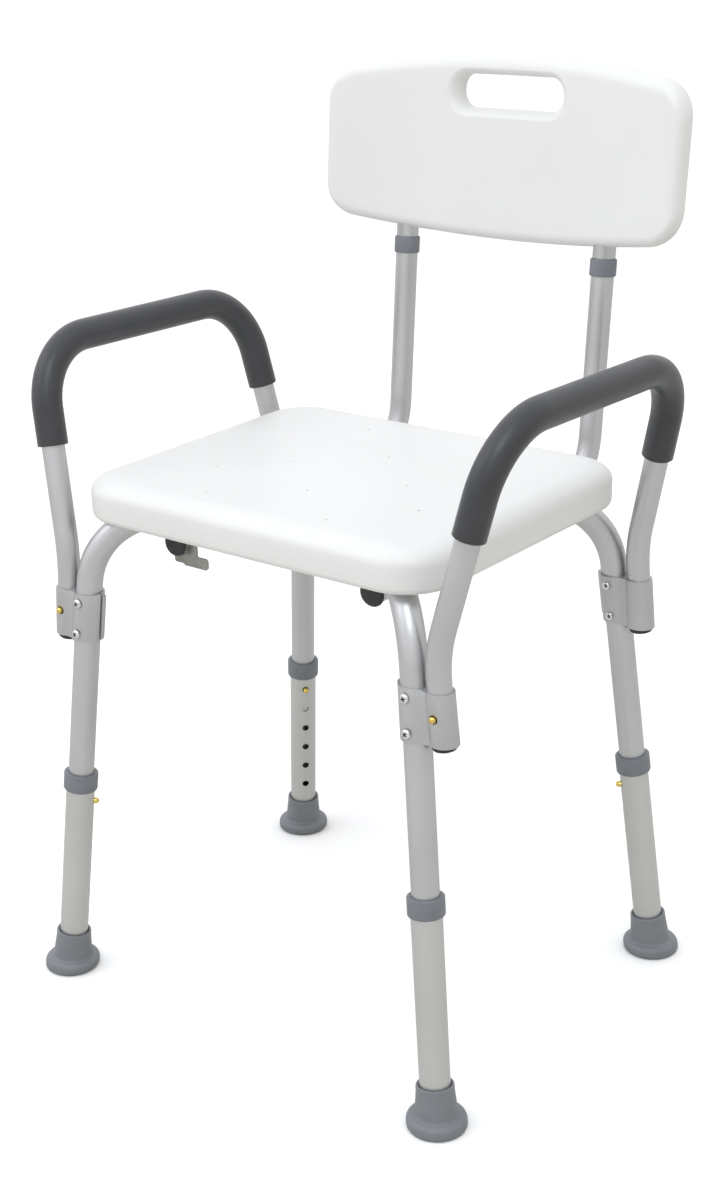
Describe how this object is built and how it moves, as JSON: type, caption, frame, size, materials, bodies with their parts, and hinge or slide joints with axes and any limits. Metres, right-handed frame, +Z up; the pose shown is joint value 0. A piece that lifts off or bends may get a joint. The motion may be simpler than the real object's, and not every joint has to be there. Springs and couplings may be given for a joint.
{
  "type": "shower chair",
  "caption": "Shower chair with a moulded seat on crossing tube legs, telescopic feet with snap buttons, lift-off padded arms in clamp brackets and a lift-off curved back with a hand slot.",
  "frame": {"origin": "on the floor, under the middle of the whole chair's bounding box (34.2 mm behind the middle of the four feet)", "axes": "+Z up, -Y towards the chair's front edge, +X towards the seated person's left hand"},
  "size_m": [0.5474, 0.5082, 0.8699],
  "materials": {
    "tube": "satin anodised",
    "bracket": "satin",
    "plastic": "fine satin, white",
    "grip": "matt foam, charcoal",
    "collar": "matt, mid blue-grey",
    "foot": "matt, mid grey",
    "brass": "bright plated",
    "black": "satin black",
    "chrome": "bright",
    "plate": "dull zinc"
  },
  "bodies": {
    "frame": {"seat_panel": "plastic", "frame_tube_a": "tube", "frame_tube_b": "tube", "arm_bracket_fl": "bracket", "arm_bracket_fr": "bracket", "arm_bracket_rl": "bracket", "arm_bracket_rr": "bracket", "bracket_bolt_fl_upper": "chrome", "bracket_bolt_fl_lower": "chrome", "bracket_bolt_fr_upper": "chrome", "bracket_bolt_fr_lower": "chrome", "bracket_bolt_rl_upper": "chrome", "bracket_bolt_rl_lower": "chrome", "bracket_bolt_rr_upper": "chrome", "bracket_bolt_rr_lower": "chrome", "back_tube_l": "tube", "back_tube_r": "tube", "back_tube_cap_l": "black", "back_tube_cap_r": "black", "back_collar_l": "collar", "back_collar_r": "collar", "seat_clip_l": "plate", "seat_clip_r": "plate", "rear_strap": "plate", "retaining_plate": "plate", "centre_bolt": "chrome"},
    "foot_fl": {"foot_tube_fl": "tube", "leg_collar_fl": "collar", "foot_tip_fl": "foot"},
    "foot_fr": {"foot_tube_fr": "tube", "leg_collar_fr": "collar", "foot_tip_fr": "foot"},
    "foot_rl": {"foot_tube_rl": "tube", "leg_collar_rl": "collar", "foot_tip_rl": "foot"},
    "foot_rr": {"foot_tube_rr": "tube", "leg_collar_rr": "collar", "foot_tip_rr": "foot"},
    "leg_button_fl": {"leg_button_fl": "brass"},
    "leg_button_fr": {"leg_button_fr": "brass"},
    "leg_button_rl": {"leg_button_rl": "brass"},
    "leg_button_rr": {"leg_button_rr": "brass"},
    "arm_l": {"arm_tube_l": "tube", "arm_grip_l": "grip", "arm_plug_fl": "black", "arm_plug_rl": "black"},
    "arm_r": {"arm_tube_r": "tube", "arm_grip_r": "grip", "arm_plug_fr": "black", "arm_plug_rr": "black"},
    "arm_button_fl": {"arm_button_fl": "brass"},
    "arm_button_fr": {"arm_button_fr": "brass"},
    "arm_button_rl": {"arm_button_rl": "brass"},
    "arm_button_rr": {"arm_button_rr": "brass"},
    "backrest": {"back_panel": "plastic", "back_insert_l": "tube", "back_insert_r": "tube"},
    "back_button_l": {"back_button_l": "brass"},
    "back_button_r": {"back_button_r": "brass"}
  },
  "joints": [
    {"name": "foot_slide_fl", "type": "slide", "parent": "frame", "child": "foot_fl", "axis": [0.1009, 0.0724, 0.9923], "range_m": [0, 0.127]},
    {"name": "foot_slide_fr", "type": "slide", "parent": "frame", "child": "foot_fr", "axis": [-0.1009, 0.0724, 0.9923], "range_m": [0, 0.127]},
    {"name": "foot_slide_rl", "type": "slide", "parent": "frame", "child": "foot_rl", "axis": [0.1009, -0.0724, 0.9923], "range_m": [0, 0.127]},
    {"name": "foot_slide_rr", "type": "slide", "parent": "frame", "child": "foot_rr", "axis": [-0.1009, -0.0724, 0.9923], "range_m": [0, 0.127]},
    {"name": "leg_button_press_fl", "type": "slide", "parent": "frame", "child": "leg_button_fl", "axis": [-0.7691, -0.627, 0.124], "range_m": [0, 0.0064], "stiffness_N_per_m": 1500, "springref_m": -0.003, "deforming": ["leg_button_fl"]},
    {"name": "leg_button_press_fr", "type": "slide", "parent": "frame", "child": "leg_button_fr", "axis": [0.7691, -0.627, 0.124], "range_m": [0, 0.0064], "stiffness_N_per_m": 1500, "springref_m": -0.003, "deforming": ["leg_button_fr"]},
    {"name": "leg_button_press_rl", "type": "slide", "parent": "frame", "child": "leg_button_rl", "axis": [-0.7691, 0.627, 0.124], "range_m": [0, 0.0064], "stiffness_N_per_m": 1500, "springref_m": -0.003, "deforming": ["leg_button_rl"]},
    {"name": "leg_button_press_rr", "type": "slide", "parent": "frame", "child": "leg_button_rr", "axis": [0.7691, 0.627, 0.124], "range_m": [0, 0.0064], "stiffness_N_per_m": 1500, "springref_m": -0.003, "deforming": ["leg_button_rr"]},
    {"name": "arm_lift_l", "type": "slide", "parent": "frame", "child": "arm_l", "axis": [0.1012, 0, 0.9949], "range_m": [0, 0.055]},
    {"name": "arm_lift_r", "type": "slide", "parent": "frame", "child": "arm_r", "axis": [-0.1012, 0, 0.9949], "range_m": [0, 0.055]},
    {"name": "arm_button_press_fl", "type": "slide", "parent": "arm_l", "child": "arm_button_fl", "axis": [0, 1, 0], "range_m": [0, 0.0055], "stiffness_N_per_m": 1500, "springref_m": -0.003, "deforming": ["arm_button_fl"]},
    {"name": "arm_button_press_fr", "type": "slide", "parent": "arm_r", "child": "arm_button_fr", "axis": [0, 1, 0], "range_m": [0, 0.0055], "stiffness_N_per_m": 1500, "springref_m": -0.003, "deforming": ["arm_button_fr"]},
    {"name": "arm_button_press_rl", "type": "slide", "parent": "arm_l", "child": "arm_button_rl", "axis": [0, -1, 0], "range_m": [0, 0.0055], "stiffness_N_per_m": 1500, "springref_m": -0.003, "deforming": ["arm_button_rl"]},
    {"name": "arm_button_press_rr", "type": "slide", "parent": "arm_r", "child": "arm_button_rr", "axis": [0, -1, 0], "range_m": [0, 0.0055], "stiffness_N_per_m": 1500, "springref_m": -0.003, "deforming": ["arm_button_rr"]},
    {"name": "back_lift", "type": "slide", "parent": "frame", "child": "backrest", "axis": [0, 0.0885, 0.9961], "range_m": [0, 0.078]},
    {"name": "back_button_press_l", "type": "slide", "parent": "backrest", "child": "back_button_l", "axis": [0, -0.9961, 0.0885], "range_m": [0, 0.005], "stiffness_N_per_m": 1500, "springref_m": -0.003, "deforming": ["back_button_l"]},
    {"name": "back_button_press_r", "type": "slide", "parent": "backrest", "child": "back_button_r", "axis": [0, -0.9961, 0.0885], "range_m": [0, 0.005], "stiffness_N_per_m": 1500, "springref_m": -0.003, "deforming": ["back_button_r"]}
  ]
}
